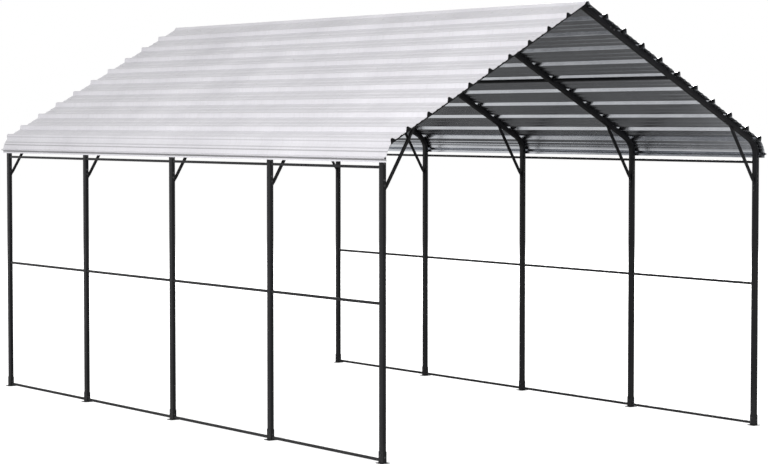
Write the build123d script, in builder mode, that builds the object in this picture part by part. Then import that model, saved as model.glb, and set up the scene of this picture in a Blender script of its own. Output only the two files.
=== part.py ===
from build123d import *
import os
from math import cos, degrees, radians, sin, tan

os.makedirs("parts", exist_ok=True)

# A steel carport. +Z is up, +Y runs along the building towards its back gable,
# and +X runs across it. The origin is on the ground under the middle of the plan.

# Overall sizes
bay_count = 4
bay_length = 1482.5
post_spacing = 3615.0
post_top_height = 2065.0
roof_overhang = 78.0
roof_slope = 30.0

# Frame tube of posts and rafters
tube_deep = 50.0
tube_slim = 30.0
tube_wall = 1.2
tube_flat = 1.2
knee_rise = 177.6
eave_bend_radius = 150.0

# Joints of posts and rafters: a spigot stands in both
spigot_depth = 125.0
spigot_bend_gap = 10.0
spigot_wall = 1.2
spigot_clearance = 0.25

# Feet
plate_margin = 10.75
plate_thick = 5.0
plate_flat = 3.0
sleeve_wall = 2.0
sleeve_height = 80.0
sleeve_clearance = 0.25
anchor_hole_radius = 4.5

# Side rails and purlins
rail_side = 20.0
rail_wall = 1.0
bottom_rail_height = 22.0
mid_rail_height = 1133.0
top_rail_rise = 33.0
purlin_side = 20.0
purlin_offset = 924.0

# Knee braces
brace_side = 20.0
brace_reach = 334.0
brace_tab_length = 55.0
brace_tab_thick = 3.0

# Ridge connectors
connector_arm = 250.0
connector_lap = 90.0
connector_clearance = 0.25
connector_wall = 1.2

# Roof sheets
sheet_thick = 1.0
rib_pitch = 210.0
rib_height = 28.0
rib_base = 46.0
rib_crest = 18.0
swage_spacing = 55.0
swage_height = 3.0
swage_base = 26.0
swage_crest = 14.0

# Ridge cap
ridge_rib_rise = 11.0
ridge_rib_base = 54.0
ridge_rib_crest = 28.0
cap_lap = 40.0

# Rolled eave
eave_stand_off = 7.5
groove_count = 2
groove_first_angle = 29.0
groove_step_angle = 9.0
groove_depth = 3.0
groove_width = 12.0
groove_floor = 4.0
eave_roll_end = 7.4
lip_reach = 23.0
lip_drop = 9.5
lip_nose = 3.0
lip_return_drop = 8.5
tail_length = 20.0

# Derived places
slope_cos = cos(radians(roof_slope))
slope_sin = sin(radians(roof_slope))
slope_tan = tan(radians(roof_slope))
frame_length = bay_count * bay_length
roof_length = frame_length + 2 * roof_overhang
post_x = post_spacing / 2
bent_places = [bay_length * i - frame_length / 2 for i in range(bay_count + 1)]
knee_height = post_top_height + knee_rise
bend_start_height = knee_height - eave_bend_radius * tan(radians((90 - roof_slope) / 2))
rafter_apex = knee_height + post_x * slope_tan
apex_height = rafter_apex + (sheet_thick + tube_slim / 2) / slope_cos
ridge_height = apex_height + ridge_rib_rise


def label_and_save(piece, name):
    piece.part.label = name
    export_step(piece.part, f"parts/{name}.step")


def save_both_sides(right, name):
    """The piece is built on the right, and its mirror image stands on the left."""
    with BuildPart() as left:
        mirror(right.part, about=Plane.YZ)
    label_and_save(left, f"left_{name}")
    label_and_save(right, f"right_{name}")


def gable_plane(x, y, z):
    """An upright plane across the building, facing the front gable."""
    return Plane((x, y, z), x_dir=(1, 0, 0), z_dir=(0, -1, 0))


def level_plane(x, y, z):
    return Plane((x, y, z), x_dir=(1, 0, 0), z_dir=(0, 0, 1))


def slope_point(along, out):
    """A point in the gable plane, along the right slope from the ridge and out from the pans."""
    return (
        along * slope_cos + out * slope_sin,
        apex_height - along * slope_sin + out * slope_cos,
    )


def shifted(point, direction, distance):
    return (point[0] + direction[0] * distance, point[1] + direction[1] * distance)


def square_tube(side, wall, rotation=0):
    Rectangle(side, side, rotation=rotation)
    Rectangle(side - 2 * wall, side - 2 * wall, rotation=rotation, mode=Mode.SUBTRACT)


def flat_cornered(width, depth, flat):
    """A rectangle with a small flat across each corner."""
    x = width / 2
    y = depth / 2
    Polygon(
        (x, y - flat),
        (x - flat, y),
        (flat - x, y),
        (-x, y - flat),
        (-x, flat - y),
        (flat - x, -y),
        (x - flat, -y),
        (x, flat - y),
        align=None,
    )


# Feet: a base plate with two anchor holes and a sleeve round the post
sleeve_in_deep = tube_deep + 2 * sleeve_clearance
sleeve_in_slim = tube_slim + 2 * sleeve_clearance
sleeve_out_deep = sleeve_in_deep + 2 * sleeve_wall
sleeve_out_slim = sleeve_in_slim + 2 * sleeve_wall
plate_side = sleeve_out_deep + 2 * plate_margin
anchor_spacing = (plate_side + sleeve_out_slim) / 2

with BuildPart() as feet:
    for y in bent_places:
        with BuildSketch(level_plane(post_x, y, 0)):
            flat_cornered(plate_side, plate_side, plate_flat)
            with GridLocations(anchor_spacing, 0, 2, 1):
                Circle(anchor_hole_radius, mode=Mode.SUBTRACT)
        extrude(amount=plate_thick)
        with BuildSketch(level_plane(post_x, y, plate_thick)):
            flat_cornered(sleeve_out_slim, sleeve_out_deep, tube_flat)
            Rectangle(sleeve_in_slim, sleeve_in_deep, mode=Mode.SUBTRACT)
        extrude(amount=sleeve_height)
save_both_sides(feet, "feet")

# Posts: straight tubes from the base plate to the joint under the eave bend
tube_in_slim = tube_slim - 2 * tube_wall
tube_in_deep = tube_deep - 2 * tube_wall


def make_post(y):
    with BuildPart() as post:
        with BuildSketch(level_plane(post_x, y, plate_thick)):
            flat_cornered(tube_slim, tube_deep, tube_flat)
            Rectangle(tube_in_slim, tube_in_deep, mode=Mode.SUBTRACT)
        extrude(amount=post_top_height - plate_thick)
    return post


# Rafters: one tube each, bent down at the eave to stand on its post
rafter_end = (connector_arm, rafter_apex - connector_arm * slope_tan)


def make_rafter(y):
    with BuildPart() as rafter:
        with BuildLine(gable_plane(0, y, 0)) as path:
            FilletPolyline(
                (post_x, post_top_height),
                (post_x, knee_height),
                rafter_end,
                radius=eave_bend_radius,
            )
        with BuildSketch(level_plane(post_x, y, post_top_height)):
            flat_cornered(tube_slim, tube_deep, tube_flat)
        sweep(path=path.wires()[0])
        with BuildSketch(level_plane(post_x, y, post_top_height)):
            Rectangle(tube_in_slim, tube_in_deep)
        sweep(path=path.wires()[0], mode=Mode.SUBTRACT)
    return rafter


for number, y in enumerate(bent_places, 1):
    save_both_sides(make_post(y), f"post_{number}")
    save_both_sides(make_rafter(y), f"rafter_{number}")

# Spigots: a short slimmer tube in each post's top, which the bent end of the rafter slips over
spigot_slim = tube_in_slim - 2 * spigot_clearance
spigot_deep = tube_in_deep - 2 * spigot_clearance
spigot_foot = post_top_height - spigot_depth
spigot_head = bend_start_height - spigot_bend_gap

with BuildPart() as spigots:
    for y in bent_places:
        with BuildSketch(level_plane(post_x, y, spigot_foot)):
            Rectangle(spigot_slim, spigot_deep)
            Rectangle(spigot_slim - 2 * spigot_wall, spigot_deep - 2 * spigot_wall, mode=Mode.SUBTRACT)
        extrude(amount=spigot_head - spigot_foot)
save_both_sides(spigots, "spigots")

# Ridge connectors: a slimmer bent tube that slides into both rafters
connector_deep = tube_in_deep - 2 * connector_clearance
connector_slim = tube_in_slim - 2 * connector_clearance
connector_reach = connector_arm / slope_cos + connector_lap


def connector_outline(half, reach):
    """An inverted V about the rafters' centre lines, half as thick as twice the first value."""
    end = reach * slope_cos
    drop = reach * slope_sin
    lean = half * slope_sin
    rise = half * slope_cos
    return [
        (0, rafter_apex + half / slope_cos),
        (end + lean, rafter_apex - drop + rise),
        (end - lean, rafter_apex - drop - rise),
        (0, rafter_apex - half / slope_cos),
        (lean - end, rafter_apex - drop - rise),
        (-end - lean, rafter_apex - drop + rise),
    ]


with BuildPart() as ridge_connectors:
    for y in bent_places:
        with BuildSketch(gable_plane(0, y, 0)):
            Polygon(*connector_outline(connector_slim / 2, connector_reach), align=None)
        extrude(amount=connector_deep / 2, both=True)
        with BuildSketch(gable_plane(0, y, 0)):
            Polygon(*connector_outline(connector_slim / 2 - connector_wall, connector_reach + 1), align=None)
        extrude(amount=connector_deep / 2 - connector_wall, both=True, mode=Mode.SUBTRACT)
label_and_save(ridge_connectors, "ridge_connectors")


# Side rails: square tubes between neighbouring posts
def make_rails(height, end_gap):
    with BuildPart() as rails:
        for y in bent_places[:-1]:
            with BuildSketch(gable_plane(post_x, y + end_gap, height)):
                square_tube(rail_side, rail_wall)
            extrude(amount=2 * end_gap - bay_length)
    return rails


save_both_sides(make_rails(bottom_rail_height, sleeve_out_deep / 2), "bottom_rails")
save_both_sides(make_rails(mid_rail_height, tube_deep / 2), "mid_rails")
save_both_sides(make_rails(post_top_height + top_rail_rise, tube_deep / 2), "top_rails")

# Purlins: square tubes half way up each slope, flush with the tops of the rafters
purlin_rise = (tube_slim - purlin_side) / 2
purlin_x = purlin_offset + purlin_rise * slope_sin
purlin_z = rafter_apex - purlin_offset * slope_tan + purlin_rise * slope_cos

with BuildPart() as purlins:
    for y in bent_places[:-1]:
        with BuildSketch(gable_plane(purlin_x, y + tube_deep / 2, purlin_z)):
            square_tube(purlin_side, rail_wall, rotation=-roof_slope)
        extrude(amount=tube_deep - bay_length)
save_both_sides(purlins, "purlins")

# Knee braces: each crosses the corner under the eave bend, and a bolted tab
# runs on from each end, down the post and up the rafter
post_face_x = post_x - tube_slim / 2
rafter_face_apex = rafter_apex - tube_slim / 2 / slope_cos
brace_angle = radians((90 + roof_slope) / 2)
brace_along = (-cos(brace_angle), sin(brace_angle))
brace_inward = (-sin(brace_angle), -cos(brace_angle))
up_slope = (-slope_cos, slope_sin)
off_rafter = (-slope_sin, -slope_cos)
brace_foot = (post_x, knee_height - brace_reach)


def brace_edge(shift):
    """The ends of a line beside the brace's centre line, on the post and on the rafter."""
    start = shifted(brace_foot, brace_inward, shift)
    to_post = (post_face_x - start[0]) / brace_along[0]
    rafter_gap = rafter_face_apex - start[0] * slope_tan - start[1]
    to_rafter = rafter_gap / (brace_along[1] + brace_along[0] * slope_tan)
    return shifted(start, brace_along, to_post), shifted(start, brace_along, to_rafter)


inner_low, inner_high = brace_edge(brace_side / 2)
outer_low, outer_high = brace_edge(-brace_side / 2)
tab_foot = shifted(inner_low, (0, -1), brace_tab_length)
tab_head = shifted(inner_high, up_slope, brace_tab_length)

with BuildPart() as knee_braces:
    for y in bent_places:
        with BuildSketch(gable_plane(0, y, 0)):
            Polygon(inner_low, inner_high, outer_high, outer_low, align=None)
            Polygon(
                outer_low,
                tab_foot,
                shifted(tab_foot, (-1, 0), brace_tab_thick),
                shifted(outer_low, (-1, 0), brace_tab_thick),
                align=None,
            )
            Polygon(
                outer_high,
                tab_head,
                shifted(tab_head, off_rafter, brace_tab_thick),
                shifted(outer_high, off_rafter, brace_tab_thick),
                align=None,
            )
        extrude(amount=brace_side / 2, both=True)
save_both_sides(knee_braces, "knee_braces")


# Roof sheets: ribs along the building, with shallow swages in each pan. The eave sheets
# take over at the last rib, and roll down round the outside of the rafters' bends.
def rib_points(along, height, base, crest):
    return [
        slope_point(along - base / 2, 0),
        slope_point(along - crest / 2, height),
        slope_point(along + crest / 2, height),
        slope_point(along + base / 2, 0),
    ]


def swage_points(start, end):
    """Swages spread evenly over a pan, as many as it has room for."""
    count = int((end - start) / swage_spacing)
    points = []
    for i in range(count):
        along = start + (end - start) * (i + 1) / (count + 1)
        points += rib_points(along, swage_height, swage_base, swage_crest)
    return points


roll_radius = eave_bend_radius + tube_slim / 2 + sheet_thick
roll_centre_x = post_x + tube_slim / 2 + eave_stand_off + sheet_thick - roll_radius
roll_start_x = roll_centre_x + roll_radius * slope_sin
roll_centre_z = apex_height - roll_start_x * slope_tan - roll_radius * slope_cos
roll_start_along = roll_start_x / slope_cos
roll_start_angle = 90 - roof_slope
rib_count = int((roll_start_along - rib_base) / rib_pitch)
eave_start = rib_count * rib_pitch + rib_base / 2
cap_reach = rib_pitch / 2

sheet_top = [slope_point(cap_reach - cap_lap, 0)]
for i in range(1, rib_count + 1):
    rib_along = i * rib_pitch
    sheet_top += rib_points(rib_along, rib_height, rib_base, rib_crest)
    if i < rib_count:
        sheet_top += swage_points(rib_along + rib_base / 2, rib_along + rib_pitch - rib_base / 2)

with BuildPart() as roof_sheet:
    with BuildSketch(Plane.XZ):
        with BuildLine():
            Polyline(*sheet_top)
            offset(amount=sheet_thick, side=Side.RIGHT, kind=Kind.INTERSECTION)
        make_face()
    extrude(amount=roof_length / 2, both=True)
save_both_sides(roof_sheet, "roof_sheet")

# Rolled eave: the last pan, a rib where the roll starts, two inward grooves, the pointed lip and the tail
def roll_point(angle, out):
    reach = roll_radius + out
    return (
        roll_centre_x + reach * cos(radians(angle)),
        roll_centre_z + reach * sin(radians(angle)),
    )


def roll_arc(start, end):
    ThreePointArc(roll_point(start, 0), roll_point((start + end) / 2, 0), roll_point(end, 0))


def roll_width(length):
    """The angle that a length takes up round the roll."""
    return degrees(length / roll_radius)


def roll_fold(middle, out, base, crest):
    """A rib across the roll, or a groove where it goes inwards."""
    Polyline(
        roll_point(middle + roll_width(base / 2), 0),
        roll_point(middle + roll_width(crest / 2), out),
        roll_point(middle - roll_width(crest / 2), out),
        roll_point(middle - roll_width(base / 2), 0),
    )


eave_rib_angle = roll_start_angle - roll_width(rib_base / 2)
lip_root = roll_point(eave_roll_end, 0)
lip_top = (lip_root[0] + lip_reach, lip_root[1] - lip_drop)
lip_under = (lip_top[0], lip_top[1] - lip_nose)
tail_top = (lip_root[0], lip_under[1] - lip_return_drop)
tail_end = (lip_root[0], tail_top[1] - tail_length)

with BuildPart() as eave_sheet:
    with BuildSketch(Plane.XZ):
        with BuildLine():
            Polyline(
                slope_point(eave_start, 0),
                *swage_points(eave_start, roll_start_along),
                roll_point(roll_start_angle, 0),
            )
            roll_fold(eave_rib_angle, rib_height, rib_base, rib_crest)
            arc_start = eave_rib_angle - roll_width(rib_base / 2)
            for i in range(groove_count):
                groove_angle = groove_first_angle - i * groove_step_angle
                roll_arc(arc_start, groove_angle + roll_width(groove_width / 2))
                roll_fold(groove_angle, -groove_depth, groove_width, groove_floor)
                arc_start = groove_angle - roll_width(groove_width / 2)
            roll_arc(arc_start, eave_roll_end)
            Polyline(lip_root, lip_top, lip_under, tail_top, tail_end)
            offset(amount=sheet_thick, side=Side.RIGHT, kind=Kind.ARC)
        make_face()
    extrude(amount=roof_length / 2, both=True)
save_both_sides(eave_sheet, "eave_sheet")

# Ridge cap: one wide rib over the ridge, and a wing that laps over the first pan of each slope
cap_crest = (ridge_rib_crest / 2, ridge_height - ridge_rib_crest / 2 * slope_tan / 2)
cap_foot = slope_point(ridge_rib_base / 2 / slope_cos, sheet_thick)
cap_wing = [cap_crest, cap_foot, slope_point(cap_reach, sheet_thick)]

with BuildPart() as ridge_cap:
    with BuildSketch(Plane.XZ):
        with BuildLine():
            Polyline(*[(-x, z) for x, z in reversed(cap_wing)], (0, ridge_height), *cap_wing)
            offset(amount=sheet_thick, side=Side.RIGHT, kind=Kind.INTERSECTION)
        make_face()
    extrude(amount=roof_length / 2, both=True)
label_and_save(ridge_cap, "ridge_cap")
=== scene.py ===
import bpy
import bmesh
import math
import numpy as np
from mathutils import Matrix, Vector


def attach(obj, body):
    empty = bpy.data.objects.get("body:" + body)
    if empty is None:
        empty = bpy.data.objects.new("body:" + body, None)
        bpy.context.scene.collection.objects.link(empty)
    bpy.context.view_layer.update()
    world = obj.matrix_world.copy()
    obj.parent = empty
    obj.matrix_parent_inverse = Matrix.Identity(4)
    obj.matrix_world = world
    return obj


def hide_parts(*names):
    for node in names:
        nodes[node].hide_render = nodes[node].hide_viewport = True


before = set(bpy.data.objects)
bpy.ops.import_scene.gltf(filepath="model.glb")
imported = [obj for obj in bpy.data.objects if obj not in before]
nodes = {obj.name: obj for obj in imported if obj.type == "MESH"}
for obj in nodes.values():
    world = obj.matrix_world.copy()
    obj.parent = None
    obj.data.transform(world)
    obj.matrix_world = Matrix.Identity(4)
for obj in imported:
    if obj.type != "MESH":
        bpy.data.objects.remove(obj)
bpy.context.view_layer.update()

print("carport: the frame is loaded")

scene = bpy.context.scene
sides = {"left": -1.0, "right": 1.0}


# Camera, at the photograph's angle. Places are in metres, angles in degrees.
viewSettings = {
    "place": (-11.2285, -16.3999, 2.4202),
    "turn": 35.0755,    # from +Y towards +X
    "tilt": -2.718,
    "lens": 109.2,
    "sensor": 36.0,
    "farthest": 300.0,
}


def makeCamera(s):
    camera = bpy.data.cameras.new("photoCamera")
    camera.lens = s["lens"]
    camera.sensor_width = s["sensor"]
    camera.clip_end = s["farthest"]
    holder = bpy.data.objects.new("photoCamera", camera)
    holder.location = s["place"]
    holder.rotation_euler = (math.radians(90 + s["tilt"]), 0, -math.radians(s["turn"]))
    scene.collection.objects.link(holder)
    scene.camera = holder


# Material helpers: each material is a small node tree on Object coordinates
def newMaterial(name):
    material = bpy.data.materials.new(name)
    material.use_nodes = True
    tree = material.node_tree
    tree.nodes.clear()
    output = tree.nodes.new("ShaderNodeOutputMaterial")
    shader = tree.nodes.new("ShaderNodeBsdfPrincipled")
    tree.links.new(shader.outputs["BSDF"], output.inputs["Surface"])
    return material, tree, shader


def addNode(tree, kind, inputs=None, **settings):
    node = tree.nodes.new(kind)
    for key, value in settings.items():
        setattr(node, key, value)
    for key, value in (inputs or {}).items():
        if isinstance(value, bpy.types.NodeSocket):
            tree.links.new(value, node.inputs[key])
        else:
            node.inputs[key].default_value = value
    return node


# Fractal noise on Object coordinates, stretched by a factor along each axis
def noise(tree, scale, detail, stretch=(1, 1, 1)):
    place = addNode(tree, "ShaderNodeTexCoord")
    mapping = addNode(tree, "ShaderNodeMapping", {"Vector": place.outputs["Object"], "Scale": stretch})
    texture = addNode(tree, "ShaderNodeTexNoise",
                      {"Vector": mapping.outputs["Vector"], "Scale": scale, "Detail": detail})
    return texture.outputs["Fac"]


noiseRange = (0.3, 0.7)    # where nearly all of a noise's values lie


# A colour for each value of a noise, mixed from the low one to the high one
def ramp(tree, value, low, high):
    node = addNode(tree, "ShaderNodeValToRGB", {"Fac": value})
    for element, position, colour in zip(node.color_ramp.elements, noiseRange, (low, high)):
        element.position = position
        element.color = colour
    return node.outputs["Color"]


def scaled(tree, value, low, high, fromLow=noiseRange[0], fromHigh=noiseRange[1]):
    node = addNode(tree, "ShaderNodeMapRange",
                   {"Value": value, "From Min": fromLow, "From Max": fromHigh, "To Min": low, "To Max": high})
    return node.outputs["Result"]


def combined(tree, a, b, how="MULTIPLY"):
    return addNode(tree, "ShaderNodeMath", {0: a, 1: b}, operation=how).outputs[0]


def mixColour(tree, amount, a, b):
    return addNode(tree, "ShaderNodeMixRGB", {"Fac": amount, "Color1": a, "Color2": b}).outputs["Color"]


topRange = (0.2, 0.95)    # the normal's Z where a face begins to count as a top, and where it is one


# How far a face looks up: 0 for walls and undersides, 1 for level tops
def upward(tree):
    geometry = addNode(tree, "ShaderNodeNewGeometry")
    parts = addNode(tree, "ShaderNodeSeparateXYZ", {"Vector": geometry.outputs["Normal"]})
    return scaled(tree, parts.outputs["Z"], 0.0, 1.0, *topRange)


# 1 at the floor, falling to 0 at the given height
def nearFloor(tree, height):
    place = addNode(tree, "ShaderNodeTexCoord")
    parts = addNode(tree, "ShaderNodeSeparateXYZ", {"Vector": place.outputs["Object"]})
    return scaled(tree, parts.outputs["Z"], 1.0, 0.0, 0.0, height)


def bump(tree, height, distance):
    node = addNode(tree, "ShaderNodeBump", {"Height": height, "Distance": distance, "Strength": 1.0})
    return node.outputs["Normal"]


# Frame: satin charcoal powder coat with orange peel, a little dust on the tops and near the floor
coatLook = {
    "dark": (0.0055, 0.0055, 0.0065, 1),
    "light": (0.010, 0.010, 0.0115, 1),
    "dust": (0.11, 0.107, 0.10, 1),
    "speckScale": 55.0,
    "speckRange": (0.42, 0.66),
    "speckLeast": 0.2,
    "dustOnTops": 0.16,
    "dustNearFloor": 0.10,
    "floorReach": 0.35,
    "patchScale": 3.5,
    "peelScale": 420.0,
    "peelDepth": 0.00012,
    "roughScale": 24.0,
    "roughLow": 0.34,
    "roughHigh": 0.50,
    "gloss": 0.14,
}


def makeCoat(s):
    material, tree, shader = newMaterial("charcoalCoat")
    coat = ramp(tree, noise(tree, s["patchScale"], detail=5), s["dark"], s["light"])
    specks = scaled(tree, noise(tree, s["speckScale"], detail=4), s["speckLeast"], 1.0, *s["speckRange"])
    tops = combined(tree, combined(tree, upward(tree), specks), s["dustOnTops"])
    low = combined(tree, combined(tree, nearFloor(tree, s["floorReach"]), specks), s["dustNearFloor"])
    dust = combined(tree, tops, low, "MAXIMUM")
    rough = scaled(tree, noise(tree, s["roughScale"], detail=4), s["roughLow"], s["roughHigh"])
    tree.links.new(mixColour(tree, dust, coat, s["dust"]), shader.inputs["Base Color"])
    tree.links.new(rough, shader.inputs["Roughness"])
    tree.links.new(bump(tree, noise(tree, s["peelScale"], detail=1), s["peelDepth"]), shader.inputs["Normal"])
    shader.inputs["Specular IOR Level"].default_value = s["gloss"]
    return material


# Sheets outside: pale coil coat, with faint runs down the slope, fine grain, and painted shade lines round
# the eave's folds
sheetLook = {
    "low": (0.62, 0.61, 0.645, 1),
    "high": (0.72, 0.71, 0.745, 1),
    "grime": (0.40, 0.39, 0.375, 1),
    "grimeAmount": 0.16,
    "cloudScale": 1.6,
    "runScale": 5.0,
    "runStretch": (0.35, 9.0, 0.35),
    "runRange": (0.48, 0.80),
    # the dark colour of the painted shade lines in the eave's folds and under the lip
    "foldShadeColour": (0.05, 0.05, 0.052, 1),
    "foldAngles": (50.5, 29.0, 20.0),    # round the eave's roll
    "foldAmounts": (0.25, 0.30, 0.45, 0.85),
    "foldReach": 0.006,
    "foldCore": 0.4,    # share of the reach over which the painted shade is full
    "roughScale": 14.0,
    "roughLow": 0.32,
    "roughHigh": 0.46,
    "grainScale": 700.0,
    "grainDepth": 0.00002,
}


# Painted shade in the eave's folds: a dark line round the height of each, the last one under the lip
def foldShadeLines(tree, s):
    place = addNode(tree, "ShaderNodeTexCoord")
    parts = addNode(tree, "ShaderNodeSeparateXYZ", {"Vector": place.outputs["Object"]})
    heights = rollPoints(s["foldAngles"], 0)[:, 1].tolist()
    heights.append(eaveLine(eaveSizes, roofSizes)[-1, 1] + eaveSizes["tailLength"] - s["foldReach"] / 2)
    paintedShade = None
    for height, amount in zip(heights, s["foldAmounts"]):
        away = addNode(tree, "ShaderNodeMath", {0: parts.outputs["Z"], 1: height}, operation="SUBTRACT")
        away = addNode(tree, "ShaderNodeMath", {0: away.outputs[0]}, operation="ABSOLUTE")
        line = scaled(tree, away.outputs[0], amount, 0.0, s["foldReach"] * s["foldCore"], s["foldReach"])
        paintedShade = line if paintedShade is None else combined(tree, paintedShade, line, "MAXIMUM")
    return paintedShade


def makeSheetPaint(s):
    material, tree, shader = newMaterial("paleCoilCoat")
    clouds = ramp(tree, noise(tree, s["cloudScale"], detail=5), s["low"], s["high"])
    runs = noise(tree, s["runScale"], detail=5, stretch=s["runStretch"])
    worn = mixColour(tree, scaled(tree, runs, 0.0, s["grimeAmount"], *s["runRange"]), clouds, s["grime"])
    rough = scaled(tree, noise(tree, s["roughScale"], detail=5), s["roughLow"], s["roughHigh"])
    grain = bump(tree, noise(tree, s["grainScale"], detail=1), s["grainDepth"])
    # The base colour takes the painted fold shade over the runs and clouds
    tree.links.new(mixColour(tree, foldShadeLines(tree, s), worn, s["foldShadeColour"]), shader.inputs["Base Color"])
    tree.links.new(rough, shader.inputs["Roughness"])
    tree.links.new(grain, shader.inputs["Normal"])
    return material


# Sheets inside: rolled zinc, which mirrors the horizon softly in the steep faces of the ribs
backingLook = {
    "low": (0.47, 0.485, 0.515, 1),
    "high": (0.57, 0.585, 0.615, 1),
    "metal": 1.0,
    "cloudScale": 2.2,
    "roughScale": 18.0,
    "roughLow": 0.20,
    "roughHigh": 0.27,
    "rollScale": 160.0,
    "rollStretch": (1.0, 0.03, 1.0),
    "rollDepth": 0.00004,
}


def makeBacking(s):
    material, tree, shader = newMaterial("rolledZinc")
    clouds = ramp(tree, noise(tree, s["cloudScale"], detail=5), s["low"], s["high"])
    rough = scaled(tree, noise(tree, s["roughScale"], detail=5), s["roughLow"], s["roughHigh"])
    lines = noise(tree, s["rollScale"], detail=2, stretch=s["rollStretch"])
    tree.links.new(clouds, shader.inputs["Base Color"])
    tree.links.new(rough, shader.inputs["Roughness"])
    tree.links.new(bump(tree, lines, s["rollDepth"]), shader.inputs["Normal"])
    shader.inputs["Metallic"].default_value = s["metal"]
    return material


# Fixings: blackened zinc on the frame's bolts, heads painted like the sheets on the roof's screws.
# Each has its low colour, its high colour and how metallic it is.
fixingLook = {
    "frame": ((0.020, 0.020, 0.022, 1), (0.055, 0.054, 0.055, 1), 0.4),
    "roof": ((0.52, 0.52, 0.53, 1), (0.68, 0.68, 0.69, 1), 0.0),
    "colourScale": 90.0,
    "roughScale": 150.0,
    "rough": (0.30, 0.48),
}


def makeFixing(name, s, kind):
    material, tree, shader = newMaterial(name)
    low, high, metal = s[kind]
    colour = ramp(tree, noise(tree, s["colourScale"], detail=4), low, high)
    rough = scaled(tree, noise(tree, s["roughScale"], detail=3), *s["rough"])
    tree.links.new(colour, shader.inputs["Base Color"])
    tree.links.new(rough, shader.inputs["Roughness"])
    shader.inputs["Metallic"].default_value = metal
    return material


# Mesh helpers. A grid holds rows of points, and its quads join the neighbours.
def gridFaces(rows, columns, closeRows=False, closeColumns=False):
    i = np.arange(rows if closeRows else rows - 1)[:, None]
    j = np.arange(columns if closeColumns else columns - 1)[None, :]
    iNext = (i + 1) % rows
    jNext = (j + 1) % columns
    corners = [i * columns + j, i * columns + jNext, iNext * columns + jNext, iNext * columns + j]
    return np.stack(corners, axis=-1).reshape(-1, 4)


# Face normals times twice the area: the cross product of each quad's diagonals
def quadNormals(points, faces):
    a, b, c, d = (points[faces[:, k]] for k in range(4))
    return np.cross(c - a, d - b)


# A closed surface's volume is the sum of face centre times face normal, and it is turned if that is negative
def turnedOut(points, faces):
    volume = (points[faces].mean(axis=1) * quadNormals(points, faces)).sum()
    return faces if volume > 0 else faces[:, ::-1]


# An open surface is turned so that its faces look along the given direction on the whole
def turnedTo(points, faces, direction):
    facing = (quadNormals(points, faces) @ np.array(direction, float)).sum()
    return faces if facing > 0 else faces[:, ::-1]


samePlace = 0.000001    # metres within which two points of a piece become one


def addPiece(name, parts, material, stands=(), sharpAngle=40.0):
    starts = np.cumsum([0] + [len(part[0]) for part in parts])
    points = np.concatenate([part[0] for part in parts])
    faces = np.concatenate([part[1] + start for part, start in zip(parts, starts)])
    mesh = bpy.data.meshes.new(name)
    mesh.from_pydata(points.tolist(), [], faces.tolist())
    merged = bmesh.new()
    merged.from_mesh(mesh)
    bmesh.ops.remove_doubles(merged, verts=merged.verts, dist=samePlace)
    merged.to_mesh(mesh)
    merged.free()
    mesh.shade_smooth()
    mesh.set_sharp_from_angle(angle=math.radians(sharpAngle))
    mesh.materials.append(material)
    piece = bpy.data.objects.new(name, mesh)
    scene.collection.objects.link(piece)
    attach(piece, "root")
    if stands:
        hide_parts(*stands)
    return piece


# A rectangle with round corners: each corner's centre plus the radius times (cosine, sine)
def roundedRectangle(width, depth, radius, steps=5):
    angles = np.linspace(0, math.pi / 2, steps)
    quarter = np.stack([np.cos(angles), np.sin(angles)], axis=-1) * radius
    turns = np.arange(4) * math.pi / 2
    cosine, sine = np.cos(turns)[:, None], np.sin(turns)[:, None]
    x = quarter[:, 0] * cosine - quarter[:, 1] * sine
    y = quarter[:, 0] * sine + quarter[:, 1] * cosine
    x += (width / 2 - radius) * np.array([1, -1, -1, 1])[:, None]
    y += (depth / 2 - radius) * np.array([1, 1, -1, -1])[:, None]
    return np.stack([x.ravel(), y.ravel()], axis=-1)


# A profile carried along a path: place + first value times across + second value times up
def carry(profiles, places, across, up):
    profiles = np.broadcast_to(profiles, (len(places),) + profiles.shape[-2:])
    return places[:, None, :] + profiles[:, :, :1] * across[:, None, :] + profiles[:, :, 1:] * up[:, None, :]


# A tube wall: the outside goes along the path and the inside comes back, so that the wall is one closed
# surface. The first and last outside rows are drawn in by the ease, which rounds the rims.
def tubeWall(width, depth, radius, wall, ease, places, across, up):
    along = np.diff(places, axis=0)
    along /= np.linalg.norm(along, axis=1)[:, None]
    outside = roundedRectangle(width, depth, radius)
    drawnIn = roundedRectangle(width - 2 * ease, depth - 2 * ease, radius - ease)
    inside = roundedRectangle(width - 2 * wall, depth - 2 * wall, radius - wall)
    rows = np.concatenate([places[:1], places[:1] + along[:1] * ease, places[1:-1],
                           places[-1:] - along[-1:] * ease, places[-1:]])
    rowsAcross = np.concatenate([across[:1], across[:1], across[1:-1], across[-1:], across[-1:]])
    rowsUp = np.concatenate([up[:1], up[:1], up[1:-1], up[-1:], up[-1:]])
    profiles = np.broadcast_to(outside, (len(rows),) + outside.shape).copy()
    profiles[[0, -1]] = drawnIn
    outer = carry(profiles, rows, rowsAcross, rowsUp)
    inner = carry(inside, places, across, up)
    grid = np.concatenate([outer, inner[::-1]])
    points = grid.reshape(-1, 3)
    return points, turnedOut(points, gridFaces(len(grid), grid.shape[1], True, True))


def straightTube(width, depth, radius, wall, ease, start, end, across, up):
    return tubeWall(width, depth, radius, wall, ease, np.array([start, end], float),
                    np.array([across, across], float), np.array([up, up], float))


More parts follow.
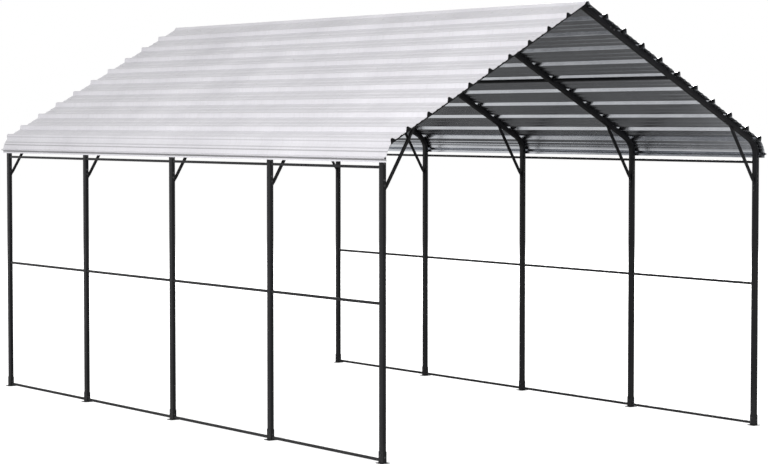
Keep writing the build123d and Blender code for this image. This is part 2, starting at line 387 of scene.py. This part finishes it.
# Frame: the tubes of the bents, their rails and their purlins, in metres
frameSizes = {
    "bayLength": 1.4825,
    "bayCount": 4,
    "postX": 1.8075,
    "plateTop": 0.005,
    "postTop": 2.065,
    "kneeHeight": 2.2426,
    "slope": 30.0,
    "bendRadius": 0.150,
    "connectorArm": 0.250,
    "tubeDeep": 0.050,
    "tubeSlim": 0.030,
    "tubeWall": 0.0012,
    "cornerRadius": 0.0030,
    "railSide": 0.020,
    "railWall": 0.0010,
    "railRadius": 0.0022,
    "railHeights": {"bottom": 0.022, "mid": 1.133, "top": 2.098},
    "sleeveHalf": 0.02725,
    "purlinOffset": 0.924,
    "rimEase": 0.0006,
    "railEase": 0.0003,
}
bentPlaces = (np.arange(frameSizes["bayCount"] + 1) - frameSizes["bayCount"] / 2) * frameSizes["bayLength"]
slopeAngle = math.radians(frameSizes["slope"])
rafterApex = frameSizes["kneeHeight"] + frameSizes["postX"] * math.tan(slopeAngle)


def makePosts(s, coat):
    for side, sign in sides.items():
        for number, y in enumerate(bentPlaces, 1):
            tube = straightTube(s["tubeSlim"], s["tubeDeep"], s["cornerRadius"], s["tubeWall"], s["rimEase"],
                                (sign * s["postX"], y, s["plateTop"]), (sign * s["postX"], y, s["postTop"]),
                                (1, 0, 0), (0, 1, 0))
            addPiece(f"{side}Post{number}Tube", [tube], coat, [f"{side}_post_{number}"])


# A rafter's centre line: straight up from the post, round the bend, and straight to the connector.
# In the bend it is the centre plus the radius times (cosine, sine), from 0 to 90 degrees less the slope.
def rafterLine(s, steps=22):
    sweep = math.pi / 2 - slopeAngle
    bendStart = s["kneeHeight"] - s["bendRadius"] * math.tan(sweep / 2)
    bend = np.linspace(0, sweep, steps)
    endZ = rafterApex - s["connectorArm"] * math.tan(slopeAngle)
    x = np.concatenate([[s["postX"]], s["postX"] - s["bendRadius"] * (1 - np.cos(bend)), [s["connectorArm"]]])
    z = np.concatenate([[s["postTop"]], bendStart + s["bendRadius"] * np.sin(bend), [endZ]])
    angles = np.concatenate([[0], bend, [sweep]])
    return x, z, angles


def makeRafters(s, coat):
    x, z, angles = rafterLine(s)
    for side, sign in sides.items():
        for number, y in enumerate(bentPlaces, 1):
            places = np.stack([sign * x, np.full_like(x, y), z], axis=-1)
            outward = np.stack([sign * np.cos(angles), np.zeros_like(x), np.sin(angles)], axis=-1)
            along = np.broadcast_to(np.array([0.0, 1.0, 0.0]), places.shape)
            tube = tubeWall(s["tubeSlim"], s["tubeDeep"], s["cornerRadius"], s["tubeWall"], s["rimEase"],
                            places, outward, along)
            addPiece(f"{side}Rafter{number}Tube", [tube], coat, [f"{side}_rafter_{number}"])


def makeRails(s, coat):
    for side, sign in sides.items():
        for level, height in s["railHeights"].items():
            gap = s["sleeveHalf"] if level == "bottom" else s["tubeDeep"] / 2
            x = sign * s["postX"]
            parts = [straightTube(s["railSide"], s["railSide"], s["railRadius"], s["railWall"], s["railEase"],
                                  (x, low + gap, height), (x, high - gap, height), (1, 0, 0), (0, 0, 1))
                     for low, high in zip(bentPlaces[:-1], bentPlaces[1:])]
            addPiece(f"{side}{level.title()}RailTubes", parts, coat, [f"{side}_{level}_rails"])


def makePurlins(s, coat):
    rise = (s["tubeSlim"] - s["railSide"]) / 2
    x = s["purlinOffset"] + rise * math.sin(slopeAngle)
    gap = s["tubeDeep"] / 2
    z = rafterApex - s["purlinOffset"] * math.tan(slopeAngle) + rise * math.cos(slopeAngle)
    for side, sign in sides.items():
        across = (sign * math.cos(slopeAngle), 0, -math.sin(slopeAngle))
        up = (sign * math.sin(slopeAngle), 0, math.cos(slopeAngle))
        parts = [straightTube(s["railSide"], s["railSide"], s["railRadius"], s["railWall"], s["railEase"],
                              (sign * x, low + gap, z), (sign * x, high - gap, z), across, up)
                 for low, high in zip(bentPlaces[:-1], bentPlaces[1:])]
        addPiece(f"{side}PurlinTubes", parts, coat, [f"{side}_purlins"])


# Knee braces: square tubes whose ends are pressed flat into tabs, on the post and under the rafter
braceSizes = {
    "side": 0.020,
    "tabWidth": 0.024,
    "tabThick": 0.0032,
    "tabLength": 0.075,
    "reach": 0.334,
    "press": 0.030,         # length over which the tube is pressed flat
    "pressOnTab": 0.6,      # share of that length which lies on the tab
    "pressPower": 1.5,      # how the thickness grows from tab to tube
    "bendSteps": 9,
    "cornerShare": 0.11,    # corner radius as a share of the width
    "angle": 60.0,
}


# The centre line goes up one tab, along the brace and up the other. Each of its two bends is a curve of
# second degree, (1-t)^2 a + 2t(1-t) b + t^2 c, over which the thickness goes from tab to tube.
def braceLine(s, f):
    half = s["tabThick"] / 2
    angle = math.radians(s["angle"])
    along = np.array([-math.cos(angle), math.sin(angle)])
    upSlope = np.array([-math.cos(slopeAngle), math.sin(slopeAngle)])
    tabX = f["postX"] - f["tubeSlim"] / 2 - half
    foot = np.array([f["postX"], f["kneeHeight"] - s["reach"]])
    low = foot + along * (foot[0] - tabX) / -along[0]
    underApex = rafterApex - (f["tubeSlim"] / 2 + half) / math.cos(slopeAngle)
    slopeTan = math.tan(slopeAngle)
    high = low + along * (underApex - low[0] * slopeTan - low[1]) / (along[1] + along[0] * slopeTan)
    start = low - np.array([0, s["tabLength"]])
    end = high + upSlope * s["tabLength"]
    onTab = s["press"] * s["pressOnTab"]
    t = np.linspace(0, 1, s["bendSteps"])[:, None]
    lowBend = ((1 - t) ** 2 * (low - np.array([0, onTab])) + 2 * t * (1 - t) * low
               + t ** 2 * (low + along * s["press"]))
    highBend = ((1 - t) ** 2 * (high - along * s["press"]) + 2 * t * (1 - t) * high
                + t ** 2 * (high + upSlope * onTab))
    line = np.concatenate([start[None], lowBend, highBend, end[None]])
    rounding = t[:, 0] ** s["pressPower"]
    full = np.concatenate([[0], rounding, rounding[::-1], [0]])
    return line, full


def makeBraces(s, f, coat):
    line, full = braceLine(s, f)
    step = np.gradient(line, axis=0)
    step /= np.linalg.norm(step, axis=1)[:, None]
    thick = s["tabThick"] + (s["side"] - s["tabThick"]) * full
    width = s["tabWidth"] + (s["side"] - s["tabWidth"]) * full
    unit = roundedRectangle(1.0, 1.0, s["cornerShare"])
    profiles = np.stack([unit[None, :, 0] * width[:, None], unit[None, :, 1] * thick[:, None]], axis=-1)
    profiles = np.concatenate([profiles[:1] * 0, profiles, profiles[-1:] * 0])
    rows = np.concatenate([[0], np.arange(len(line)), [len(line) - 1]])
    for side, sign in sides.items():
        parts = []
        for y in bentPlaces:
            places = np.stack([sign * line[:, 0], np.full(len(line), y), line[:, 1]], axis=-1)[rows]
            across = np.broadcast_to(np.array([0.0, 1.0, 0.0]), places.shape)
            up = np.stack([sign * step[:, 1], np.zeros(len(line)), -step[:, 0]], axis=-1)[rows]
            grid = carry(profiles, places, across, up)
            points = grid.reshape(-1, 3)
            parts.append((points, turnedOut(points, gridFaces(len(grid), grid.shape[1], False, True))))
        addPiece(f"{side}KneeBraceTubes", parts, coat, [f"{side}_knee_braces"])


# Roof sheets: sizes in metres, with places along the slope from the ridge. The ribs' flanks are flatter than
# in the CAD, whose rib has a base of 0.046 and a crest of 0.018, and the pitch and the height are the same.
roofSizes = {
    "thick": 0.001,
    "length": 6.086,
    "ribPitch": 0.210,
    "ribCount": 9,
    "ribHeight": 0.028,
    "ribBase": 0.055,
    "ribCrest": 0.014,
    "swageCount": 2,
    "swageHeight": 0.003,
    "swageBase": 0.026,
    "swageCrest": 0.014,
    "foldRadius": 0.0045,
    "capLap": 0.040,
    "waveHeight": 0.0004,
    "swell": (0.55, 0.45),         # its middle and its half range
    "swellAcross": 17.0,           # radians per metre over the slope
    "swellAlong": 1.9,             # radians per metre along the building
    "stations": 45,
    "sharpAngle": 60.0,
}
apexHeight = rafterApex + (roofSizes["thick"] + frameSizes["tubeSlim"] / 2) / math.cos(slopeAngle)


# Along the right slope from the ridge and out from its pans, for arrays of both
def slopePoints(along, out):
    along, out = np.broadcast_arrays(np.asarray(along, float), np.asarray(out, float))
    return np.stack([along * math.cos(slopeAngle) + out * math.sin(slopeAngle),
                     apexHeight - along * math.sin(slopeAngle) + out * math.cos(slopeAngle)], axis=-1)


# Folds of ribs or swages: foot, crest, crest, foot at each place along the slope
def foldPoints(places, height, base, crest):
    along = np.asarray(places, float)[:, None] + np.array([-base, -crest, crest, base]) / 2
    out = np.broadcast_to(np.array([0, height, height, 0.0]), along.shape)
    return slopePoints(along.ravel(), out.ravel())


# Each corner of a line becomes a curve of second degree from the tangent point before it to the one after it,
# (1-t)^2 a + 2t(1-t) p + t^2 b. The tangent length is the radius times the tangent of half the turn, up to
# the given share of the shorter side. A point closer to the one before it than leastGap is dropped.
def roundFolds(line, radius, steps=4, share=0.45, leastGap=0.00002):
    step = np.diff(line, axis=0)
    length = np.linalg.norm(step, axis=1)
    step /= length[:, None]
    turn = np.arccos(np.clip((step[1:] * step[:-1]).sum(axis=1), -1, 1))
    reach = np.minimum(radius * np.tan(turn / 2), share * np.minimum(length[1:], length[:-1]))[:, None]
    corner = line[1:-1]
    before = (corner - step[:-1] * reach)[:, None]
    after = (corner + step[1:] * reach)[:, None]
    t = np.linspace(0, 1, steps)[None, :, None]
    curves = (1 - t) ** 2 * before + 2 * t * (1 - t) * corner[:, None] + t ** 2 * after
    points = np.concatenate([line[:1], curves.reshape(-1, 2), line[-1:]])
    moved = np.linalg.norm(np.diff(points, axis=0), axis=1) > leastGap
    return points[np.concatenate([[True], moved])]


# Normals of a line, from the difference of each point's neighbours turned by a right angle to the left
def lineNormals(line):
    step = np.gradient(line, axis=0)
    step /= np.linalg.norm(step, axis=1)[:, None]
    return np.stack([-step[:, 1], step[:, 0]], axis=-1)


# A thin sheet from its outer line: the outer skin with its rims, and the inner skin one thickness below.
# Between the screw lines both lift by waveHeight times sine squared along the building, times a slow swell.
def sheetSkins(line, s, sign):
    normals = lineNormals(line)
    stations = np.linspace(-s["length"] / 2, s["length"] / 2, s["stations"])
    run = np.concatenate([[0], np.cumsum(np.linalg.norm(np.diff(line, axis=0), axis=1))])
    turn = s["swellAcross"] * run[None, :] + s["swellAlong"] * sign * stations[:, None]
    swell = s["swell"][0] + s["swell"][1] * np.sin(turn)
    lift = s["waveHeight"] * np.sin(math.pi * stations / frameSizes["bayLength"])[:, None] ** 2 * swell

    def skin(depth):
        flat = line[None] + normals[None] * (lift - depth)[..., None]
        y = np.broadcast_to(stations[:, None], flat.shape[:2])
        return np.stack([sign * flat[..., 0], y, flat[..., 1]], axis=-1)

    outer, inner = skin(0.0), skin(s["thick"])
    ends = np.concatenate([inner[:1], inner, inner[-1:]])
    rims = np.concatenate([inner[:1], outer, inner[-1:]])
    rims = np.concatenate([ends[:, :1], rims, ends[:, -1:]], axis=1)
    outerPoints, innerPoints = rims.reshape(-1, 3), inner.reshape(-1, 3)
    outward = np.array([sign * math.sin(slopeAngle), 0, math.cos(slopeAngle)])
    outerFaces = turnedTo(outerPoints, gridFaces(*rims.shape[:2]), outward)
    innerFaces = turnedTo(innerPoints, gridFaces(*inner.shape[:2]), -outward)
    return (outerPoints, outerFaces), (innerPoints, innerFaces)


def addSheet(name, node, line, s, sign, paint, backing):
    outer, inner = sheetSkins(line, s, sign)
    addPiece(f"{name}Outside", [outer], paint, [node], s["sharpAngle"])
    addPiece(f"{name}Inside", [inner], backing, [node], s["sharpAngle"])


def roofLine(s):
    ribs = np.arange(1, s["ribCount"] + 1) * s["ribPitch"]
    pan = s["ribPitch"] - s["ribBase"]
    share = np.arange(1, s["swageCount"] + 1) / (s["swageCount"] + 1)
    swages = (ribs[:-1, None] + s["ribBase"] / 2 + pan * share[None, :]).ravel()
    start = slopePoints([s["ribPitch"] / 2 - s["capLap"]], [0])
    folds = np.concatenate([foldPoints(ribs, s["ribHeight"], s["ribBase"], s["ribCrest"]),
                            foldPoints(swages, s["swageHeight"], s["swageBase"], s["swageCrest"])])
    order = np.argsort(np.concatenate([np.repeat(ribs, 4), np.repeat(swages, 4)]), kind="stable")
    return roundFolds(np.concatenate([start, folds[order]]), s["foldRadius"])


# Rolled eave: the last pan, a rib where the roll starts, two grooves, the pointed lip and the tail
eaveSizes = {
    "standOff": 0.0075,
    "grooveAngles": (29.0, 20.0),
    "grooveDepth": 0.003,
    "grooveWidth": 0.012,
    "grooveFloor": 0.004,
    "rollEnd": 7.4,
    "lipReach": 0.023,
    "lipDrop": 0.0095,
    "lipNose": 0.003,
    "lipReturn": 0.0085,
    "tailLength": 0.020,
    "foldRadius": 0.0030,
    "arcSteps": 7,
}
rollRadius = frameSizes["bendRadius"] + frameSizes["tubeSlim"] / 2 + roofSizes["thick"]
rollOutX = frameSizes["postX"] + frameSizes["tubeSlim"] / 2 + eaveSizes["standOff"] + roofSizes["thick"]
rollCentreX = rollOutX - rollRadius
rollStartX = rollCentreX + rollRadius * math.sin(slopeAngle)
rollCentreZ = apexHeight - rollStartX * math.tan(slopeAngle) - rollRadius * math.cos(slopeAngle)


# Points round the roll: its centre plus (radius + out) times (cosine, sine) of the angle in degrees
def rollPoints(angle, out):
    angle = np.radians(np.asarray(angle, float))
    reach = rollRadius + np.asarray(out, float)
    return np.stack([rollCentreX + reach * np.cos(angle), rollCentreZ + reach * np.sin(angle)], axis=-1)


def eaveLine(e, s):
    perMetre = math.degrees(1 / rollRadius)
    start = s["ribCount"] * s["ribPitch"] + s["ribBase"] / 2
    swage = (start + rollStartX / math.cos(slopeAngle)) / 2
    ribAngle = 90 - frameSizes["slope"] - s["ribBase"] / 2 * perMetre
    folds = np.array([s["ribBase"], s["ribCrest"], -s["ribCrest"], -s["ribBase"]]) / 2 * perMetre
    pieces = [slopePoints([start], [0]),
              foldPoints([swage], s["swageHeight"], s["swageBase"], s["swageCrest"]),
              rollPoints(ribAngle + folds, [0, s["ribHeight"], s["ribHeight"], 0])]
    arcStart = ribAngle + folds[-1]
    for middle in e["grooveAngles"]:
        width, floor = e["grooveWidth"] / 2 * perMetre, e["grooveFloor"] / 2 * perMetre
        angles = middle + np.array([width, floor, -floor, -width])
        pieces.append(rollPoints(np.linspace(arcStart, angles[0], e["arcSteps"])[1:-1], 0))
        pieces.append(rollPoints(angles, [0, -e["grooveDepth"], -e["grooveDepth"], 0]))
        arcStart = angles[-1]
    pieces.append(rollPoints(np.linspace(arcStart, e["rollEnd"], e["arcSteps"] + 1)[1:], 0))
    root = pieces[-1][-1]
    steps = np.array([(e["lipReach"], -e["lipDrop"]), (0, -e["lipNose"]),
                      (-e["lipReach"], -e["lipReturn"]), (0, -e["tailLength"])])
    pieces.append(root + np.cumsum(steps, axis=0))
    return roundFolds(np.concatenate(pieces), e["foldRadius"])


# Ridge cap: one wide rib over the ridge, and a wing that laps over the first pan of each slope
capSizes = {
    "rise": 0.011,
    "base": 0.054,
    "crest": 0.028,
    "foldRadius": 0.009,
    "foldSteps": 6,
}


def capLine(c, s):
    top = apexHeight + c["rise"]
    crest = np.array([[c["crest"] / 2, top - c["crest"] / 2 * math.tan(slopeAngle) / 2]])
    along = [c["base"] / 2 / math.cos(slopeAngle), s["ribPitch"] / 2]
    right = np.concatenate([crest, slopePoints(along, s["thick"])])
    line = np.concatenate([right[::-1] * np.array([-1, 1]), [[0, top]], right])
    return roundFolds(line, c["foldRadius"], c["foldSteps"])


def makeRoof(s, e, c, paint, backing):
    for side, sign in sides.items():
        addSheet(f"{side}RoofSheet", f"{side}_roof_sheet", roofLine(s), s, sign, paint, backing)
        addSheet(f"{side}EaveSheet", f"{side}_eave_sheet", eaveLine(e, s), s, sign, paint, backing)
    addSheet("ridgeCap", "ridge_cap", capLine(c, s), dict(s, waveHeight=0.0), 1.0, paint, backing)


# Fixings: turned and six-sided shapes from rows of (radius, height, six-sided), in millimetres,
# and their places on the frame and roof, in metres
fixingSizes = {
    "bolt": [(0, 5.2, 0), (3.6, 5.2, 0), (5.0, 4.4, 1), (5.0, 1.3, 1),
             (7.6, 1.3, 0), (8.0, 0.9, 0), (8.0, 0, 0), (0, 0, 0)],
    "nut": [(0, 8.4, 0), (2.7, 8.0, 0), (2.9, 6.4, 0), (4.4, 6.4, 0), (5.0, 5.6, 1),
            (5.0, 1.3, 1), (7.6, 1.3, 0), (8.0, 0.9, 0), (8.0, 0, 0), (0, 0, 0)],
    "screw": [(0, 4.7, 0), (3.3, 4.7, 0), (4.0, 3.9, 1), (4.0, 1.6, 1),
              (6.6, 1.2, 0), (6.9, 0, 0), (0, 0, 0)],
    "sides": 12,
    "sharpAngle": 35.0,
    "footBolt": 0.058,
    "footCrossBolt": 0.043,
    "sleeve": 0.00225,
    "jointBolts": (2.121, 2.006, 1.968),
    "tabBolts": (0.010, 0.049),
    "connectorBolts": (0.025, 0.065),
    "railScrew": 0.018,
    "capScrewCount": 25,
    "capScrewGap": 0.24708,
    "capScrewIn": 0.020,
}


# Rows of a turned shape: on six-sided rows the radius is divided by the cosine of the angle from the middle
# of the nearest flat
def turnedShape(rows, count):
    rows = np.array(rows, float)
    angles = np.arange(count) * 2 * math.pi / count
    fromFlat = (angles + math.pi / 6) % (math.pi / 3) - math.pi / 6
    radius = rows[:, :1] * np.where(rows[:, 2:] > 0, 1 / np.cos(fromFlat)[None], 1.0)
    points = np.stack([radius * np.cos(angles), radius * np.sin(angles),
                       np.broadcast_to(rows[:, 1:2], radius.shape)], axis=-1).reshape(-1, 3) / 1000
    return points, turnedOut(points, gridFaces(len(rows), count, False, True))


# Copies of a shape: each place plus the shape's points, turned so that their height lies along the direction.
# The helper only has to lie well away from the direction.
def copied(shape, places, direction):
    points, faces = shape
    axis = np.array(direction, float) / np.linalg.norm(direction)
    helper = np.array([1.0, 0, 0]) if abs(axis[2]) > 0.9 else np.array([0, 0, 1.0])
    first = np.cross(helper, axis)
    first /= np.linalg.norm(first)
    turned = points @ np.stack([first, np.cross(axis, first), axis])
    copies = np.asarray(places, float)[:, None] + turned[None]
    starts = np.arange(len(places))[:, None, None] * len(points)
    return copies.reshape(-1, 3), (starts + faces[None]).reshape(-1, 4)


# Every combination of the given x, y and z
def crossed(xs, ys, zs):
    grid = np.meshgrid(xs, ys, zs, indexing="ij")
    return np.stack([g.ravel() for g in grid], axis=-1)


# Points of the gable plane at every bent
def atBents(points, sign):
    count = len(bentPlaces)
    return np.stack([np.tile(sign * points[:, 0], count), np.repeat(bentPlaces, len(points)),
                     np.tile(points[:, 1], count)], axis=-1)


def addFixings(name, parts, material, s):
    addPiece(name, parts, material, sharpAngle=s["sharpAngle"])


# Bolts and nuts sit on the joints of posts and rafters, the ridge connectors and the feet, and nuts alone on
# the tabs of the braces
def frameFixings(s, f, b, side, sign, material):
    bolt, nut = turnedShape(s["bolt"], s["sides"]), turnedShape(s["nut"], s["sides"])
    postX = sign * f["postX"]
    halfDeep, halfSlim = f["tubeDeep"] / 2, f["tubeSlim"] / 2
    onTube = (0, halfDeep, 0)
    acrossSleeve = (sign * (halfSlim + s["sleeve"]), 0, 0)
    alongSleeve = (0, halfDeep + s["sleeve"], 0)
    joints = crossed([postX], bentPlaces, s["jointBolts"])
    arm = f["connectorArm"] + np.array(s["connectorBolts"]) * math.cos(slopeAngle)
    ridge = atBents(np.stack([arm, rafterApex - arm * math.tan(slopeAngle)], axis=-1), sign)
    feet = crossed([postX], bentPlaces, [s["footBolt"]])
    crossFeet = crossed([postX], bentPlaces, [s["footCrossBolt"]])

    line = braceLine(b, f)[0]
    fromEnd = np.array(s["tabBolts"])
    tabX = sign * (f["postX"] - halfSlim - b["tabThick"])
    postTabs = crossed([tabX], bentPlaces, line[0, 1] + fromEnd)
    upSlope = np.array([-math.cos(slopeAngle), math.sin(slopeAngle)])
    offRafter = np.array([-math.sin(slopeAngle), -math.cos(slopeAngle)])
    rafterTabs = atBents(line[-1] - upSlope * fromEnd[:, None] + offRafter * b["tabThick"] / 2, sign)

    bolts = [copied(bolt, joints - onTube, (0, -1, 0)), copied(bolt, ridge - onTube, (0, -1, 0)),
             copied(bolt, feet + acrossSleeve, (sign, 0, 0)),
             copied(bolt, crossFeet - alongSleeve, (0, -1, 0))]
    nuts = [copied(nut, joints + onTube, (0, 1, 0)), copied(nut, ridge + onTube, (0, 1, 0)),
            copied(nut, feet - acrossSleeve, (-sign, 0, 0)),
            copied(nut, crossFeet + alongSleeve, (0, 1, 0)),
            copied(nut, postTabs, (-sign, 0, 0)),
            copied(nut, rafterTabs, (sign * offRafter[0], 0, offRafter[1]))]
    addFixings(f"{side}FrameBolts", bolts, material, s)
    addFixings(f"{side}FrameNuts", nuts, material, s)


# Screws at both ends of each rail
def railFixings(s, f, side, sign, material):
    fromBent = f["tubeDeep"] / 2 + s["railScrew"]
    ends = np.concatenate([bentPlaces[:-1] + fromBent, bentPlaces[1:] - fromBent])
    x = sign * (f["postX"] - f["railSide"] / 2)
    rails = crossed([x], ends, list(f["railHeights"].values()))
    screws = [copied(turnedShape(s["screw"], s["sides"]), rails, (-sign, 0, 0))]
    addFixings(f"{side}RailScrews", screws, material, s)


# Screws in the middle of each pan between two ribs at each bent, and along the cap
def roofFixings(s, r, side, sign, material):
    screw = turnedShape(s["screw"], s["sides"])
    outward = (sign * math.sin(slopeAngle), 0, math.cos(slopeAngle))
    pans = slopePoints((np.arange(1, r["ribCount"]) + 0.5) * r["ribPitch"], 0)
    onCap = slopePoints(r["ribPitch"] / 2 - s["capScrewIn"], r["thick"])
    fromMiddle = (np.arange(s["capScrewCount"]) - (s["capScrewCount"] - 1) / 2) * s["capScrewGap"]
    screws = [copied(screw, atBents(pans, sign), outward),
              copied(screw, crossed([sign * onCap[0]], fromMiddle, [onCap[1]]), outward)]
    addFixings(f"{side}RoofScrews", screws, material, s)


def makeFixings(s, f, b, r, frameMaterial, roofMaterial):
    for side, sign in sides.items():
        frameFixings(s, f, b, side, sign, frameMaterial)
        railFixings(s, f, side, sign, frameMaterial)
        roofFixings(s, r, side, sign, roofMaterial)


# Floor: white where the camera sees it, apart from the object's own soft shadow, and pale for other light.
# In gloss it glows, with a painted shadow: dim round the roof's back right corner and as bright as the room
# from 6 metres away.
# That dim patch is fitted to this view, and the stripes under the roof depend on it.
stageLook = {
    "pale": (0.46, 0.46, 0.46, 1),
    "seen": (0.80, 0.80, 0.80, 1),
    "lift": 0.80,
    "dimPlace": (2.0, 3.0, 0.0),
    "dimReach": (2.9, 6.0),
    "dimStrength": (0.15, 1.0),
    "floorSide": 240.0,
}


def makeStageMaterial(s):
    material = bpy.data.materials.new("paleFloor")
    material.use_nodes = True
    tree = material.node_tree
    tree.nodes.clear()
    output = tree.nodes.new("ShaderNodeOutputMaterial")
    pale = addNode(tree, "ShaderNodeBsdfDiffuse", {"Color": s["pale"]})
    seen = addNode(tree, "ShaderNodeBsdfDiffuse", {"Color": s["seen"]})
    lift = addNode(tree, "ShaderNodeEmission", {"Color": (1, 1, 1, 1), "Strength": s["lift"]})
    white = addNode(tree, "ShaderNodeAddShader", {0: seen.outputs[0], 1: lift.outputs[0]})
    place = addNode(tree, "ShaderNodeTexCoord")
    away = addNode(tree, "ShaderNodeVectorMath", {0: place.outputs["Object"], 1: s["dimPlace"]},
                   operation="DISTANCE")
    # Painted shadow in the glow: dim near dimPlace, rising to full strength by the far end of dimReach
    glow = scaled(tree, away.outputs["Value"], *s["dimStrength"], *s["dimReach"])
    mirrored = addNode(tree, "ShaderNodeEmission", {"Color": (1, 1, 1, 1), "Strength": glow})
    path = addNode(tree, "ShaderNodeLightPath")
    mix = addNode(tree, "ShaderNodeMixShader",
                  {0: path.outputs["Is Glossy Ray"], 1: pale.outputs[0], 2: mirrored.outputs[0]})
    mix = addNode(tree, "ShaderNodeMixShader",
                  {0: path.outputs["Is Camera Ray"], 1: mix.outputs[0], 2: white.outputs[0]})
    tree.links.new(mix.outputs[0], output.inputs["Surface"])
    return material


def makeFloor(s):
    half = s["floorSide"] / 2
    corners = np.array([(-half, -half, 0), (half, -half, 0), (half, half, 0), (-half, half, 0)])
    mesh = bpy.data.meshes.new("floor")
    mesh.from_pydata(corners.tolist(), [], [(0, 1, 2, 3)])
    floor = bpy.data.objects.new("floor", mesh)
    scene.collection.objects.link(floor)
    mesh.materials.append(makeStageMaterial(s))


# Lights: an even pale room that reads as white to the camera and in gloss, and a large soft lamp on each side
lightSettings = {
    "roomStrength": 0.25,
    "seenStrength": 1.0,
    "target": (0, 0, 1.5),
    "lampSize": 6.0,
    "keyPlace": (-22, -13, 8),
    "keyPower": 6000.0,
    "fillPlace": (16, 14, 12),
    "fillPower": 3800.0,
}


def makeLights(s):
    world = bpy.data.worlds.new("studio")
    world.use_nodes = True
    scene.world = world
    tree = world.node_tree
    path = addNode(tree, "ShaderNodeLightPath")
    seen = combined(tree, path.outputs["Is Camera Ray"], path.outputs["Is Glossy Ray"], "MAXIMUM")
    seen = combined(tree, seen, path.outputs["Is Transmission Ray"], "MAXIMUM")
    strength = scaled(tree, seen, s["roomStrength"], s["seenStrength"], 0.0, 1.0)
    background = tree.nodes["Background"]
    background.inputs["Color"].default_value = (1, 1, 1, 1)
    tree.links.new(strength, background.inputs["Strength"])
    for name in ("key", "fill"):
        lamp = bpy.data.lights.new(name, "AREA")
        lamp.size = s["lampSize"]
        lamp.energy = s[name + "Power"]
        holder = bpy.data.objects.new(name, lamp)
        holder.location = s[name + "Place"]
        away = Vector(s["target"]) - Vector(s[name + "Place"])
        holder.rotation_euler = away.to_track_quat("-Z", "Y").to_euler()
        scene.collection.objects.link(holder)


scene.view_settings.view_transform = "Standard"
makeCamera(viewSettings)
makeFloor(stageLook)
makeLights(lightSettings)
print("carport: camera, floor and lights are set")

coat = makeCoat(coatLook)
sheetPaint = makeSheetPaint(sheetLook)
backing = makeBacking(backingLook)
frameFixing = makeFixing("blackZinc", fixingLook, "frame")
roofFixing = makeFixing("paintedScrew", fixingLook, "roof")

# The frame's own nodes get their materials. Feet and ridge connectors are merged and get soft edges.
softEdgeSizes = {
    "merge": 0.00001,
    "width": 0.0006,
    "segments": 2,
    "angle": 50.0,
}


def softenEdges(node, s):
    weld = node.modifiers.new("weld", "WELD")
    weld.merge_threshold = s["merge"]
    softEdges = node.modifiers.new("softEdges", "BEVEL")
    softEdges.width = s["width"]
    softEdges.segments = s["segments"]
    softEdges.limit_method = "ANGLE"
    softEdges.angle_limit = math.radians(s["angle"])


for name, node in nodes.items():
    isSheet = name.endswith("sheet") or name == "ridge_cap"
    node.data.materials.clear()
    node.data.materials.append(sheetPaint if isSheet else coat)
for name in ("left_feet", "right_feet", "ridge_connectors"):
    softenEdges(nodes[name], softEdgeSizes)
print("carport: materials are on")

makePosts(frameSizes, coat)
makeRafters(frameSizes, coat)
makeRails(frameSizes, coat)
makePurlins(frameSizes, coat)
makeBraces(braceSizes, frameSizes, coat)
print("carport: the frame tubes are made")
makeRoof(roofSizes, eaveSizes, capSizes, sheetPaint, backing)
print("carport: the sheets are made")
makeFixings(fixingSizes, frameSizes, braceSizes, roofSizes, frameFixing, roofFixing)
print("carport: the fixings are made")
